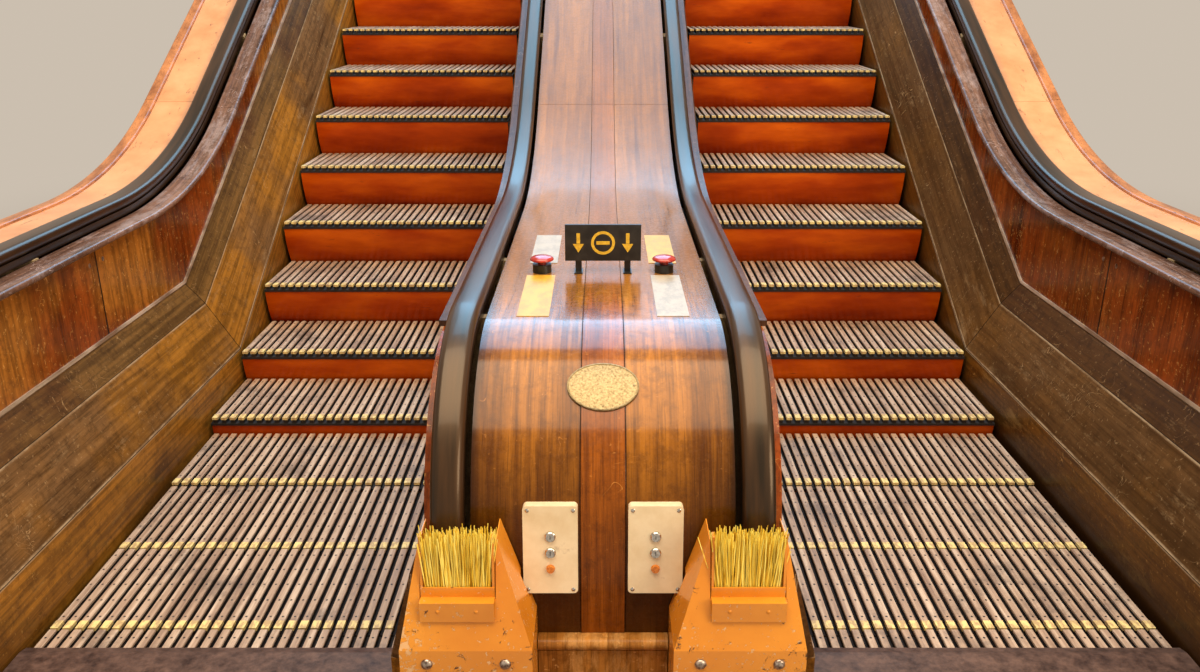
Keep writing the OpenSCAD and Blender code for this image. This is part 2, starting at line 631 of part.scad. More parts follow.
left_treads();
right_treads();
left_risers();
right_risers();
step_frames();
step_rails();
comb_plates();
floor_plates();
outer_skirts();
outer_bevels();
outer_upper_bevels();
outer_beads();
outer_panels();
outer_ledges();
outer_handrails();
outer_decks();
outer_trims();
outer_cladding();
centre_skirts();
centre_bevels();
centre_upper_bevels();
centre_beads();
centre_side_panels();
centre_trims();
centre_handrails();
handrail_tracks();
centre_deck_boards();
centre_strip();
outer_end_boards();
plinths();
handrail_guards();
brush_holders();
brushes();
control_plates();
key_switches();
lamps();
oval_plates();
button_bases();
left_stop_button();
right_stop_button();
sign_board();
sign_feet();
cream_labels();
yellow_labels();
centre_frames();
outer_frames();
truss_chords();
cross_beams();
soffit();
end_plates();
trestles();
trestle_ties();
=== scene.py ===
import math

import bmesh
import bpy
from mathutils import Matrix, Vector


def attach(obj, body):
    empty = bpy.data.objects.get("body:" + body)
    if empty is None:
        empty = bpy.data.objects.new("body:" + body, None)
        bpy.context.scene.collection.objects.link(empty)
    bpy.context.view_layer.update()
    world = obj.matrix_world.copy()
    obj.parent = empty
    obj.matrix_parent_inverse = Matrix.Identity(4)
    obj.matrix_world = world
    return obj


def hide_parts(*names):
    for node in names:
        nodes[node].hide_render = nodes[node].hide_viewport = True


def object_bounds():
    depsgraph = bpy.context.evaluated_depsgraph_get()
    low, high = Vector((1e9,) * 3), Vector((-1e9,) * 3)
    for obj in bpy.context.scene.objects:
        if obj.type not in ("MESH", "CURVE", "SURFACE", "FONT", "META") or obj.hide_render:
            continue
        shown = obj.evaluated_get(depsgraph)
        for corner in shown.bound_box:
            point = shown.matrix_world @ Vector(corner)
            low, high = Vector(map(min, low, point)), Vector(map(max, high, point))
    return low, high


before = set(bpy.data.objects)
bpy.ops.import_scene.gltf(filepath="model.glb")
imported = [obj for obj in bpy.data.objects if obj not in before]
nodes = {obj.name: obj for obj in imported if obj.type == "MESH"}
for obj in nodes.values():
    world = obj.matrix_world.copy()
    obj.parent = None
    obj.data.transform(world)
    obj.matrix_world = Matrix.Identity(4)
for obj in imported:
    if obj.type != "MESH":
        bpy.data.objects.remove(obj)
solid_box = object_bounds()

# The slatted treads: hardwood slats side by side on a bed and ribs painted near black as painted
# shade in the gaps between the slats, each nailed down to its step.
# Shoes have greyed the slats, and the noses are painted pale so that the edge of each step shows.
# The sizes are the solids' own, in metres; MIDDLE and DEEP lead from them to the scene's frame.
RISE, SLOPE, PITCH, BEND = 2.6, math.radians(30), 0.4064, 2.65
HALF = math.tan(SLOPE / 2)
RUN = RISE / math.tan(SLOPE)
KNEE, MIDDLE, DEEP = 3.56, 6.014865, 0.75
STEPS, FIRST, BAND_IN, BAND_OUT, TREAD = 22, 1.8636, 0.5, 1.516, 0.4
SLATS, NAILS, NAIL_GAP, FIRST_NAIL = 30, 5, 0.078, 0.052
RIB, RIB_MIDDLE, BED, BED_MIDDLE = 0.016, -0.0165, 0.009, -0.0285


class Worth:
    """The value of one socket; sums and products of it add Math nodes."""

    def __init__(self, nodes_of, socket):
        self.nodes_of, self.socket = nodes_of, socket

    def math(self, operation, *values):
        return self.nodes_of.node("ShaderNodeMath", {"operation": operation}, dict(enumerate(values)))

    def __add__(self, other):
        return self.math("ADD", self, other)

    def __sub__(self, other):
        return self.math("SUBTRACT", self, other)

    def __rsub__(self, other):
        return self.math("SUBTRACT", other, self)

    def __mul__(self, other):
        return self.math("MULTIPLY", self, other)

    def __truediv__(self, other):
        return self.math("DIVIDE", self, other)

    def away(self, place):
        """How far the value is from place."""
        return self.math("ABSOLUTE", self - place)

    def above(self, edge, soft):
        """0 below edge, 1 above it, with a soft change between."""
        return self.nodes_of.node("ShaderNodeMapRange", {"interpolation_type": "SMOOTHSTEP"},
                                  {"Value": self, "From Min": edge - soft, "From Max": edge + soft})


class Nodes:
    """A node tree that grows by one call per node."""

    def node(self, kind, settings, values, out=0):
        made = self.tree.nodes.new(kind)
        for name, setting in settings.items():
            if name == "stops":
                stops = made.color_ramp.elements
                while len(stops) < len(setting):
                    stops.new(1.0)
                for stop, (at, colour) in zip(stops, setting):
                    stop.position, stop.color = at, (*colour, 1.0)
            else:
                setattr(made, name, setting)
        for name, value in values.items():
            for one in value if isinstance(value, list) else [value]:
                if isinstance(one, Worth):
                    self.tree.links.new(one.socket, made.inputs[name])
                else:
                    made.inputs[name].default_value = one
        return Worth(self, made.outputs[out])


class Finish(Nodes):
    """One material: a Principled shader, and the nodes that vary it over the surface."""

    def __init__(self, name, **constants):
        self.material = bpy.data.materials.new(name)
        self.material.use_nodes = True
        self.tree = self.material.node_tree
        self.shader = self.tree.nodes["Principled BSDF"]
        self.place = Worth(self, self.tree.nodes.new("ShaderNodeTexCoord").outputs["Object"])
        for socket, value in constants.items():
            self.shader.inputs[socket.replace("_", " ")].default_value = value

    def noise(self, scale, detail=4.0, rough=0.55, twist=0.0):
        """Noise on the object's coordinates, with one scale or one for each axis."""
        scale = scale if isinstance(scale, tuple) else (scale,) * 3
        spread = self.node("ShaderNodeMapping", {"vector_type": "POINT"},
                           {"Vector": self.place, "Scale": scale})
        return self.node("ShaderNodeTexNoise", {}, {"Vector": spread, "Scale": 1.0, "Detail": detail,
                                                    "Roughness": rough, "Distortion": twist})

    def along(self, axis):
        """One coordinate of the place, in metres."""
        return self.node("ShaderNodeSeparateXYZ", {}, {"Vector": self.place}, out=axis)

    def ramp(self, value, *stops):
        return self.node("ShaderNodeValToRGB", {"stops": stops}, {"Fac": value})

    def mix(self, factor, first, second):
        """The first colour at a factor of 0, the second at 1."""
        made = self.tree.nodes.new("ShaderNodeMix")
        made.data_type = "RGBA"
        for number, value in ((0, factor), (6, first), (7, second)):
            if isinstance(value, Worth):
                self.tree.links.new(value.socket, made.inputs[number])
            else:
                made.inputs[number].default_value = (*value, 1.0) if isinstance(value, tuple) else value
        return Worth(self, made.outputs[2])

    def feed(self, **values):
        """Links values to the shader's sockets of the same names."""
        for socket, value in values.items():
            self.tree.links.new(value.socket, self.shader.inputs[socket.replace("_", " ")])

    def raised(self, height, distance, strength=1.0):
        """Bumps the surface by height, up to distance in metres."""
        self.feed(Normal=self.node("ShaderNodeBump", {}, {"Height": height, "Distance": distance,
                                                          "Strength": strength}))

    def on(self, *names):
        """Paints solids of the frame."""
        for name in names:
            mesh = nodes[name].data
            mesh.materials.clear()
            mesh.materials.append(self.material)


class Recipe(Nodes):
    """A Geometry Nodes tree with named sizes, made into a plain mesh once its sizes are set."""

    def __init__(self, name, **sizes):
        self.tree = bpy.data.node_groups.new(name, "GeometryNodeTree")
        self.sizes = {}
        for size, value in {"Geometry": None, **sizes}.items():
            kind = {type(None): "Geometry", float: "Float", int: "Int"}[type(value)]
            socket = self.tree.interface.new_socket(size, in_out="INPUT",
                                                    socket_type="NodeSocket" + kind)
            if value is not None:
                socket.default_value = value
            self.sizes[size] = socket.identifier
        self.tree.interface.new_socket("Geometry", in_out="OUTPUT", socket_type="NodeSocketGeometry")
        self.given = self.tree.nodes.new("NodeGroupInput")

    def size(self, name):
        return Worth(self, self.given.outputs[name])

    def vector(self, x=0.0, y=0.0, z=0.0):
        return self.node("ShaderNodeCombineXYZ", {}, {"X": x, "Y": y, "Z": z})

    def moved(self, shape, by):
        return self.node("GeometryNodeTransform", {}, {"Geometry": shape, "Translation": by})

    def box(self, x, y, z):
        return self.node("GeometryNodeMeshCube", {}, {"Size": self.vector(x, y, z)})

    def painted(self, shape, finish):
        return self.node("GeometryNodeSetMaterial", {},
                         {"Geometry": shape, "Material": finish.material})

    def joined(self, *shapes):
        return self.node("GeometryNodeJoinGeometry", {}, {"Geometry": list(shapes)})

    def copied(self, shape, points, **more):
        return self.node("GeometryNodeInstanceOnPoints", {},
                         {"Points": points, "Instance": shape, **more})

    def ends_with(self, shape, finish=None):
        """Makes the shape, with its copies real, what the recipe gives."""
        real = self.node("GeometryNodeRealizeInstances", {}, {"Geometry": shape})
        real = self.painted(real, finish) if finish else real
        out = self.tree.nodes.new("NodeGroupOutput")
        self.tree.links.new(real.socket, out.inputs[0])

    def make(self, name, vertices, edges=(), **sizes):
        """Runs the recipe on loose vertices and edges, and returns the finished piece."""
        start = bpy.data.meshes.new(name + " start")
        start.from_pydata(vertices, edges, [])
        piece = bpy.data.objects.new(name, start)
        bpy.context.collection.objects.link(piece)
        live = piece.modifiers.new("recipe", "NODES")
        live.node_group = self.tree
        for size, value in sizes.items():
            live[self.sizes[size]] = value
        bpy.context.view_layer.update()
        finished = piece.evaluated_get(bpy.context.evaluated_depsgraph_get())
        mesh = bpy.data.meshes.new_from_object(finished)
        piece.modifiers.clear()
        piece.data = mesh
        mesh.name = name
        mesh.shade_smooth()
        mesh.set_sharp_from_angle(angle=math.radians(30))
        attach(piece, "machine")
        return piece


def nose(along):
    """Where a nose stands after a length along the path of the steps."""
    flat, arc = KNEE - BEND * HALF, BEND * SLOPE
    climb = RISE / math.sin(SLOPE) - 2 * BEND * HALF
    if along < flat:
        y, z = along, 0
    elif along < flat + arc:
        a = (along - flat) / BEND
        y, z = flat + BEND * math.sin(a), BEND * (1 - math.cos(a))
    elif along < flat + arc + climb:
        u = along - flat - arc
        y = flat + BEND * math.sin(SLOPE) + u * math.cos(SLOPE)
        z = BEND * (1 - math.cos(SLOPE)) + u * math.sin(SLOPE)
    elif along < flat + 2 * arc + climb:
        a = SLOPE - (along - flat - arc - climb) / BEND
        y, z = KNEE + RUN + BEND * HALF - BEND * math.sin(a), RISE - BEND * (1 - math.cos(a))
    else:
        y, z = KNEE + RUN + BEND * HALF + along - flat - 2 * arc - climb, RISE
    return y - MIDDLE, z + DEEP


slat = Finish("slat wood", Roughness=0.5)
streak = slat.noise((90, 5, 30), 6.0, 0.65)
lengthwise = slat.noise((29.5, 1.1, 3), 2.0)
dirt = slat.noise((5, 5, 5), 6.0, 0.7)
pale = slat.ramp(streak * 0.55 + lengthwise * 0.45,
                 (0.30, (0.20, 0.115, 0.075)), (0.50, (0.44, 0.30, 0.21)), (0.68, (0.70, 0.55, 0.42)))
slat.feed(Base_Color=slat.mix(dirt.above(0.60, 0.10) * 0.7, pale, (0.12, 0.08, 0.06)),
          Roughness=streak * 0.3 + 0.35)
slat.raised(streak, 0.0008)
# Painted shade: the bed and the ribs under the slats are near black, standing in for the shade in the
# gaps.
gap_shade_bed = Finish("tread bed", Roughness=0.8)
gap_shade_bed.feed(Base_Color=gap_shade_bed.ramp(gap_shade_bed.noise(18.0, 4.0), (0.35, (0.006, 0.003, 0.002)),
                             (0.65, (0.020, 0.010, 0.007))))
nail = Finish("nail head", Metallic=0.6)
dulled = nail.noise(9.0, 3.0)
nail.feed(Base_Color=nail.ramp(dulled, (0.35, (0.03, 0.02, 0.018)), (0.65, (0.09, 0.07, 0.06))),
          Roughness=dulled * 0.4 + 0.3)
tip = Finish("nose paint", Roughness=0.45)
tip.feed(Base_Color=tip.mix(tip.noise((70, 30, 20), 4.0).above(0.50, 0.10), (0.84, 0.66, 0.27),
                            (0.50, 0.34, 0.16)))

tread = Recipe("slatted tread", Slats=SLATS, Pitch=(BAND_OUT - BAND_IN) / SLATS, Width=0.0205,
               Height=0.009, Depth=TREAD, Inner=BAND_IN)
width, height, depth = tread.size("Width"), tread.size("Height"), tread.size("Depth")
pitch, slats, inner_edge = tread.size("Pitch"), tread.size("Slats"), tread.size("Inner")
bar_line = tread.node("GeometryNodeCurvePrimitiveLine", {},
                      {"Start": (0, 0, 0), "End": tread.vector(0.0, depth)})
bar_form = tread.node("GeometryNodeCurvePrimitiveQuadrilateral", {}, {"Width": width, "Height": height})
bar_form = tread.node("GeometryNodeFilletCurve", {}, {"Curve": bar_form, "Radius": 0.0016})
bar = tread.node("GeometryNodeCurveToMesh", {},
                 {"Curve": bar_line, "Profile Curve": bar_form, "Fill Caps": True})
bar = tread.painted(tread.moved(bar, tread.vector(0.0, 0.0, height * -0.5)), slat)
disc = tread.node("GeometryNodeMeshCircle", {"fill_type": "NGON"}, {"Vertices": 7, "Radius": 0.0036})
nail_line = tread.node("GeometryNodeMeshLine", {},
                       {"Count": NAILS, "Start Location": (0, FIRST_NAIL, 0),
                                                    "Offset": tread.vector(0.0, NAIL_GAP)})
heads = tread.copied(tread.painted(tread.moved(disc, (0, 0, 0.0003)), nail), nail_line)
rib = tread.painted(tread.moved(tread.box(width - 0.004, depth - 0.006, RIB),
                                tread.vector(0.0, depth * 0.5, RIB_MIDDLE)), gap_shade_bed)
cap = tread.painted(tread.moved(tread.box(width + 0.0004, 0.034, 0.010), (0, 0.0167, -0.0046)), tip)
slat_line = tread.node("GeometryNodeMeshLine", {}, {"Count": slats, "Offset": tread.vector(pitch),
                                                    "Start Location": tread.vector(inner_edge + pitch
                                                            * 0.5)})
row = tread.copied(tread.joined(bar, rib, heads, cap), slat_line)
bed_middle = tread.vector(inner_edge + slats * pitch * 0.5, depth * 0.5, BED_MIDDLE)
under = tread.painted(tread.moved(tread.box(slats * pitch, depth, BED), bed_middle), gap_shade_bed)
tread.ends_with(tread.copied(tread.joined(row, under), tread.size("Geometry")))
for side, inner in (("left", -BAND_OUT), ("right", BAND_IN)):
    piece = tread.make(side + "_tread_slats", [(0, *nose(FIRST + i * PITCH)) for i in range(STEPS)],
                       Inner=inner)
    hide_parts(side + "_treads")

# The risers: sheet steel bent to an arc under each nose, fixed to the step and enamelled orange.
# The step in front rubs them glossy, and each is painted darker toward its foot as painted shade.
riser = Finish("riser enamel", Roughness=0.24, Coat_Weight=0.08, Coat_Roughness=0.1,
               Specular_IOR_Level=0.12)
riser_tone = riser.noise((2.5, 2.5, 9), 4.0)
riser_scuff = riser.noise((6, 30, 30), 8.0, 0.75).above(0.66, 0.03)
# Painted shade: the enamel darkens toward each riser's foot, once per riser height.
steps_up = (riser.along(2) - nose(FIRST + 10 * PITCH)[1]) / (PITCH * math.sin(SLOPE))
foot = 1 - steps_up.math("FRACT", steps_up).above(0.42, 0.42)
enamel = riser.ramp(riser_tone + foot * -0.16, (0.18, (0.24, 0.018, 0.001)),
                    (0.42, (0.46, 0.055, 0.002)), (0.66, (0.70, 0.125, 0.004)))
riser.feed(Base_Color=riser.mix(riser_scuff * 0.6, enamel, (0.16, 0.03, 0.01)))
riser.on("left_risers", "right_risers")

# The combs and landing floors: worn cast metal plates laid level with the treads. The combs' teeth
# stand down between the slats, so that nothing is drawn in under them.
comb = Finish("comb metal", Metallic=0.6)
comb_wear = comb.noise((26, 26, 6), 7.0, 0.7)
comb.feed(Base_Color=comb.ramp(comb_wear, (0.32, (0.050, 0.024, 0.016)), (0.68, (0.20, 0.108, 0.074))),
          Roughness=comb_wear * 0.4 + 0.3)
comb.raised(comb_wear, 0.001)
comb.on("comb_plates", "floor_plates")

# The side boards: varnished hardwood, each run cut with a mitre where the slope begins.
# Feet and cases have scratched them through to paler wood; the grain runs with the board. Light and
# shade
# are painted in: the left-hand boards keep golden patches as painted light, the right-hand ones are
# painted darker and less golden as painted shade, the skirting darkens toward its foot as painted
# shade, and pale lines along the edges are partly painted highlight, partly worn wood.
CORNER_Y, CORNER_Z = KNEE + 0.349, 0.203
# The pale colour is for lines along edges: partly painted highlight, partly worn wood.
JOINT_BLACK, EDGE_HIGHLIGHT_AND_WEAR = (0.006, 0.004, 0.003), (0.50, 0.36, 0.22)


def straightened(made):
    """x, the length along the boards and the height across them, the two mitres taken out."""
    y, z = made.along(1) - (CORNER_Y - MIDDLE), made.along(2) - (CORNER_Z + DEEP)
    mitre = y * math.cos(SLOPE / 2) + z * math.sin(SLOPE / 2)
    last = RUN * math.cos(SLOPE / 2) + RISE * math.sin(SLOPE / 2)
    climbing = mitre.above(0, 0.0002) - mitre.above(last, 0.0002)
    length = y + climbing * (y * (math.cos(SLOPE) - 1) + z * math.sin(SLOPE))
    height = z + climbing * (z * (math.cos(SLOPE) - 1) - y * math.sin(SLOPE))
    near = mitre.away(0).above(0.0018, 0.0008) * mitre.away(last).above(0.0018, 0.0008)
    return made.node("ShaderNodeCombineXYZ", {}, {"X": made.along(0), "Y": length, "Z": height}), near


def shade(colour, factor):
    return tuple(min(1, channel * factor) for channel in colour)


def timber(name, dark, light, rough, coat, wear=None, golden=None, golden_from=0.5, run="with",
           scuffed=0.60, scratched=0.67, fine=1.0, edges=(), seams=(), painted_foot_shade=False, polished=False):
    """Varnished wood: grain, varnish, gold, scratches, edges, seams and dirt, with painted light and
    shade.
    """
    made = Finish(name, Coat_Weight=coat, Coat_Roughness=0.12, Specular_IOR_Level=0.1)
    mitred = run == "with"
    if mitred:
        made.place, off_mitre = straightened(made)

    def span(across, along):
        return {"with": (across, along, across), "over": (across, along, along),
                "upright": (across, across, along)}[run]

    grain = made.noise(span(60 * fine, 1.6), 6.0, 0.62, 0.4)
    broad = made.noise(span(5.0, 0.8), 4.0, 0.55)
    pores = made.noise(span(260 * fine, 9), 2.0, 0.5)
    from_middle = made.along(0).away(0)
    # Painted light and shade: right is 1 on the right-hand side, whose boards are painted darker and
    # less golden than the left-hand ones.
    right = made.along(0).above(0.0, 0.01)
    colour = made.ramp(grain * 0.5 + broad * 0.5, (0.36, dark), (0.60, light))
    colour = made.mix(pores.above(0.58, 0.06) * 0.35, colour, shade(dark, 0.3))
    if golden:
        by_mitre = 1 - made.along(1).away(0).above(0.30, 0.30) if mitred else 0.5
        gold = (made.noise(1.3, 4.0, 0.55) + by_mitre * 0.12).above(golden_from, 0.09)
        colour = made.mix(gold * (0.92 - right * 0.62), colour,
                          made.mix(grain.above(0.5, 0.14), shade(golden, 0.45), golden))
    # Painted shade: the mitred boards on the right-hand side are darkened.
    if mitred:
        colour = made.mix(right * 0.5, colour, shade(dark, 0.9))
    if wear:
        arcs = 1 - made.noise(11.0, 2.0, 0.5, 1.5).away(0.5).above(0.0035, 0.0025)
        scratch = arcs * made.noise(6.5, 3.0, 0.6).above(scratched - 0.08, 0.02)
        speck = made.noise(70, 3.0, 0.7).above(scratched - 0.02, 0.03)
        rub = made.noise(span(12, 3), 8.0, 0.8).above(scuffed, 0.06)
        colour = made.mix(rub * 0.45, colour, wear)
        colour = made.mix((scratch + speck * 0.5) * 0.65, colour, shade(wear, 1.5))
    mottle = made.noise(26, 8.0, 0.75)
    colour = made.mix(mottle.above(0.56, 0.10) * 0.45, colour, shade(dark, 0.7))
    # Along each edge: a pale line, partly painted highlight and partly worn wood, then a dark joint
    # line.
    for edge in edges:
        from_edge = from_middle.away(edge)
        worn = made.noise(span(30, 6), 6.0, 0.8).above(0.50, 0.06)
        colour = made.mix((1 - from_edge.above(0.0030, 0.0014)) * (worn * 0.5 + 0.3), colour, EDGE_HIGHLIGHT_AND_WEAR)
        colour = made.mix(from_edge.above(0.0009, 0.0004), JOINT_BLACK, colour)
    for seam in seams:
        colour = made.mix(made.along(1).away(seam).above(0.0042, 0.0016), JOINT_BLACK, colour)
    if polished:
        # Darker low on the rounded ends, more on the wide boards than on the strip.
        low_darkening = 1 - (made.along(2) + broad * 0.25).above(1.53, 0.22)
        colour = made.mix(low_darkening * (from_middle.above(0.0502, 0.0002) * 0.5 + 0.4), colour,
                          shade(dark, 0.40))
        seam = 1 - from_middle.away(0.0502).above(0.002, 0.0012) + from_middle.above(0.278, 0.012)
        colour = made.mix(seam * 0.75, colour, shade(dark, 0.25))
        browned = made.mix(grain * 0.5 + broad * 0.5, (0.07, 0.030, 0.006), (0.46, 0.21, 0.045))
        colour = made.mix(made.along(1).above(-3.5, 0.15) * 0.6, colour, browned)
    if painted_foot_shade:
        # Painted shade: the skirting darkens toward its foot by the treads, more on the right-hand
        # side; a pale line along its top is partly painted highlight, partly worn wood.
        height = made.along(2)
        colour = made.mix((1 - height.above(-0.10, 0.13)) * (right * 0.6 + 0.4), colour,
                          shade(dark, 0.35))
        colour = made.mix(height.above(-0.004, 0.002) * 0.7, colour, EDGE_HIGHLIGHT_AND_WEAR)
    if mitred:
        colour = made.mix(off_mitre, JOINT_BLACK, colour)
    made.feed(Base_Color=colour)
    if polished:
        crackle = made.noise(90.0, 4.0, 0.7).above(0.54, 0.05)
        thick = 0.85 - made.along(1).above(-3.3, 0.4) * 0.62
        made.feed(Roughness=broad * 0.30 + crackle * 0.22 + (rough - 0.16),
                  Coat_Weight=made.along(1).above(-3.95, 0.4) * thick + 0.06)
    else:
        made.feed(Roughness=broad * 0.35 + (rough - 0.14))
    made.raised(grain + pores * 0.5, 0.0006, 0.5)
    return made


skirting = timber("skirt board", dark=(0.055, 0.020, 0.004), light=(0.36, 0.150, 0.022), rough=0.34,
                  coat=0.072, wear=(0.50, 0.29, 0.09), golden=(0.60, 0.255, 0.030), golden_from=0.44,
                  painted_foot_shade=True)
skirting.on("outer_skirts", "centre_skirts")
sloping = timber("sloping board", dark=(0.056, 0.026, 0.009), light=(0.23, 0.118, 0.046), rough=0.36,
                 coat=0.072, wear=(0.34, 0.22, 0.11), golden=(0.44, 0.180, 0.022), golden_from=0.55,
                 scuffed=0.62, fine=0.7, edges=(1.530, 1.628, 0.487, 0.430))
sloping.on("outer_bevels", "centre_bevels")
upper_sloping = timber("upper sloping board", dark=(0.028, 0.011, 0.004), light=(0.125, 0.050, 0.014),
                       rough=0.34, coat=0.09, wear=(0.30, 0.18, 0.08), golden=(0.21, 0.105, 0.028),
                       golden_from=0.46, scuffed=0.62, fine=0.7, edges=(1.690, 0.395))
upper_sloping.on("outer_upper_bevels", "centre_upper_bevels")

# The side panels: red-brown boards set upright, with a seam near each end, and the plainer boards and
# frames that carry and clad them outside and under the decks.
PANEL_SEAM, PANEL_FACE = -2.83, 1.6902
panel_wood = timber("red panel", dark=(0.060, 0.011, 0.002), light=(0.33, 0.066, 0.008), rough=0.26,
                    coat=0.24, wear=(0.74, 0.38, 0.12), golden=(0.56, 0.21, 0.030), golden_from=0.58,
                    run="upright", scuffed=0.67, scratched=0.66, fine=0.5,
                    seams=(PANEL_SEAM, -PANEL_SEAM))
panel_wood.on("outer_panels", "outer_end_boards", "centre_side_panels")
cladding_wood = timber("outer cladding", dark=(0.05, 0.015, 0.006), light=(0.17, 0.058, 0.018),
                       rough=0.4,
                       coat=0.12, wear=(0.22, 0.09, 0.03), run="upright", scuffed=0.7)
cladding_wood.on("outer_cladding")
plain = timber("plain timber", dark=(0.30, 0.2, 0.1), light=(0.5, 0.36, 0.2), rough=0.6, coat=0.0)
plain.on("centre_frames", "outer_frames")

# The bead where panel and sloping board meet: a drawn strip of light metal, pinned along the joint
# and dulled by hands and cases.
bead = Finish("bead metal", Roughness=0.34, Metallic=0.35)
bead.feed(Base_Color=bead.ramp(bead.noise((20, 5, 20), 5.0), (0.35, (0.30, 0.20, 0.13)),
                               (0.6, (0.74, 0.60, 0.45))))
bead.on("outer_beads", "centre_beads")

# The handrails: black rubber over canvas, drawn round both rounded ends and polished by hands.
# Decks, ledges and trims beside them are bent to the same line, each a fixed depth under it.
HAND_TOP, HAND_KNEE, HAND_BEND, END_BEND, END_Y = 0.92, 4.05, 1.9, 0.48, 2.32
FAR = 2 * KNEE + RUN + PITCH
FIRST_JOINT, JOINTS_LESS, HALF_SLIT = 1.22, 1.483, 0.0008
JOINTS = [KNEE + FIRST_JOINT + i * (RUN - JOINTS_LESS) / 3 for i in range(4)]


def hand_paths(foot, joints=()):
    """The line of the handrail's top from foot to foot, in stretches parted at the joints."""
    def turned(points):
        return [(FAR - y, z + RISE) for y, z in reversed(points)]

    def over(y):
        t = ((KNEE - HAND_KNEE) * math.tan(SLOPE) + HAND_TOP) * math.cos(SLOPE)
        return y - t * math.sin(SLOPE), (y - KNEE) * math.tan(SLOPE) + t * math.cos(SLOPE)

    end = [(END_Y - END_BEND, foot)]
    end += [(END_Y - END_BEND * math.cos(a), HAND_TOP - END_BEND + END_BEND * math.sin(a))
            for a in [math.radians(2 * i) for i in range(46)]]
    angles = [SLOPE * i / 24 for i in range(25)]
    low_knee, high_knee = HAND_KNEE - HAND_BEND * HALF, HAND_KNEE + RUN + HAND_BEND * HALF
    low = end + [(low_knee + HAND_BEND * math.sin(a), HAND_TOP + HAND_BEND * (1 - math.cos(a)))
                 for a in angles]
    high = [(high_knee - HAND_BEND * math.sin(a), HAND_TOP + RISE - HAND_BEND * (1 - math.cos(a)))
            for a in reversed(angles)] + turned(end)
    step = HALF_SLIT * math.cos(SLOPE), HALF_SLIT * math.sin(SLOPE)
    runs, first = [], low
    for y, z in map(over, joints):
        runs.append(first + [(y - step[0], z - step[1])])
        first = [(y + step[0], z + step[1])]
    return runs + [first + high]


beside = Recipe("bent to the handrail", Across=0.0, Depth=0.0, Width=0.07, Thickness=0.04, Corner=0.0)
line_of = beside.node("GeometryNodeMeshToCurve", {}, {"Mesh": beside.size("Geometry")})
form = beside.node("GeometryNodeCurvePrimitiveQuadrilateral", {},
                   {"Width": beside.size("Width"), "Height": beside.size("Thickness")})
form = beside.node("GeometryNodeFilletCurve", {"mode": "POLY"},
                   {"Curve": form, "Count": 4, "Radius": beside.size("Corner")})
form = beside.moved(form, beside.vector(beside.size("Across"), beside.size("Depth")))
beside.ends_with(beside.node("GeometryNodeCurveToMesh", {},
                             {"Curve": line_of, "Profile Curve": form, "Fill Caps": True}))


def beside_handrail(name, finish, replaced, foot, inner, outer, top, bottom, corner, joints=(),
                    both=True):
    """One bent piece between two widths and two depths, on one or both sides of the machine."""
    vertices, edges = [], []
    for run in hand_paths(foot, joints):
        edges += [(len(vertices) + i, len(vertices) + i + 1) for i in range(len(run) - 1)]
        vertices += [(0, y - MIDDLE, z + DEEP) for y, z in run]
    for side, hand in ((1, "_right"), (-1, "_left")) if both else ((1, ""),):
        piece = beside.make(name + hand, vertices, edges, Across=side * (inner + outer) / 2,
                            Depth=(top + bottom) / 2, Width=outer - inner, Thickness=bottom - top,
                            Corner=corner)
        piece.data.materials.append(finish.material)
    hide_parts(replaced)


rubber = Finish("handrail rubber", Coat_Weight=0.2, Coat_Roughness=0.1, Specular_Tint=(1, 0.74, 0.5, 1))
rubbed = rubber.noise((30, 2.0, 2.0), 5.0)
rubber.feed(Base_Color=rubber.ramp(rubbed, (0.35, (0.007, 0.004, 0.002)), (0.7, (0.055, 0.024, 0.009))),
            Roughness=rubbed * 0.25 + 0.2)
rubber.on("handrail_tracks")
beside_handrail("centre_handrail", rubber, "centre_handrails",
                foot=0.42, inner=0.302, outer=0.374, top=0.0, bottom=0.042, corner=0.0175)
beside_handrail("outer_handrail", rubber, "outer_handrails",
                foot=0.42, inner=1.750, outer=1.828, top=0.0, bottom=0.042, corner=0.0175)

# The ledge under each outer handrail: a rounded hardwood capping fixed along the panel's top, its
# varnish worn through to grey along the nose.
ledge = timber("worn ledge", dark=(0.040, 0.018, 0.012), light=(0.26, 0.135, 0.090), rough=0.22,
               coat=0.36,
               wear=(0.42, 0.33, 0.32), run="over", scuffed=0.54)
beside_handrail("outer_ledge", ledge, "outer_ledges",
                foot=0.528, inner=1.652, outer=1.745, top=0.063, bottom=0.088, corner=0.0115,
                joints=JOINTS)

# The decks outside the outer handrails: sheet enamelled peach orange, laid in lengths that meet at
# joints, with a painted shadow beside the handrail and a raised edge beyond whose paint has cracked.
deck = Finish("deck enamel", Coat_Weight=0.3)
deck_tone, deck_scuff = deck.noise(5.0, 6.0, 0.65), deck.noise((40, 8, 20), 6.0, 0.7)
# Painted shadow: a greyish band on the deck beside the handrail.
rail_shadow = 1 - (deck.along(0).away(0) + deck_tone * 0.03).above(1.868, 0.018)
peach = deck.ramp(deck_tone, (0.3, (0.62, 0.255, 0.10)), (0.65, (0.80, 0.40, 0.19)))
peach = deck.mix(rail_shadow * 0.55, peach, (0.36, 0.20, 0.13))
deck.feed(Base_Color=deck.mix(deck_scuff.above(0.64, 0.03) * 0.7, peach, (0.22, 0.07, 0.03)),
          Roughness=deck_tone * 0.3 + 0.22)
trim = Finish("trim enamel", Coat_Weight=0.2)
trim_tone = trim.noise((12, 3, 12), 8.0, 0.7)
crack = 1 - trim.noise((40, 3.5, 40), 3.0, 0.5, 1.6).away(0.5).above(0.006, 0.004)
browner = trim.ramp(trim_tone, (0.36, (0.24, 0.075, 0.02)), (0.60, (0.60, 0.23, 0.075)))
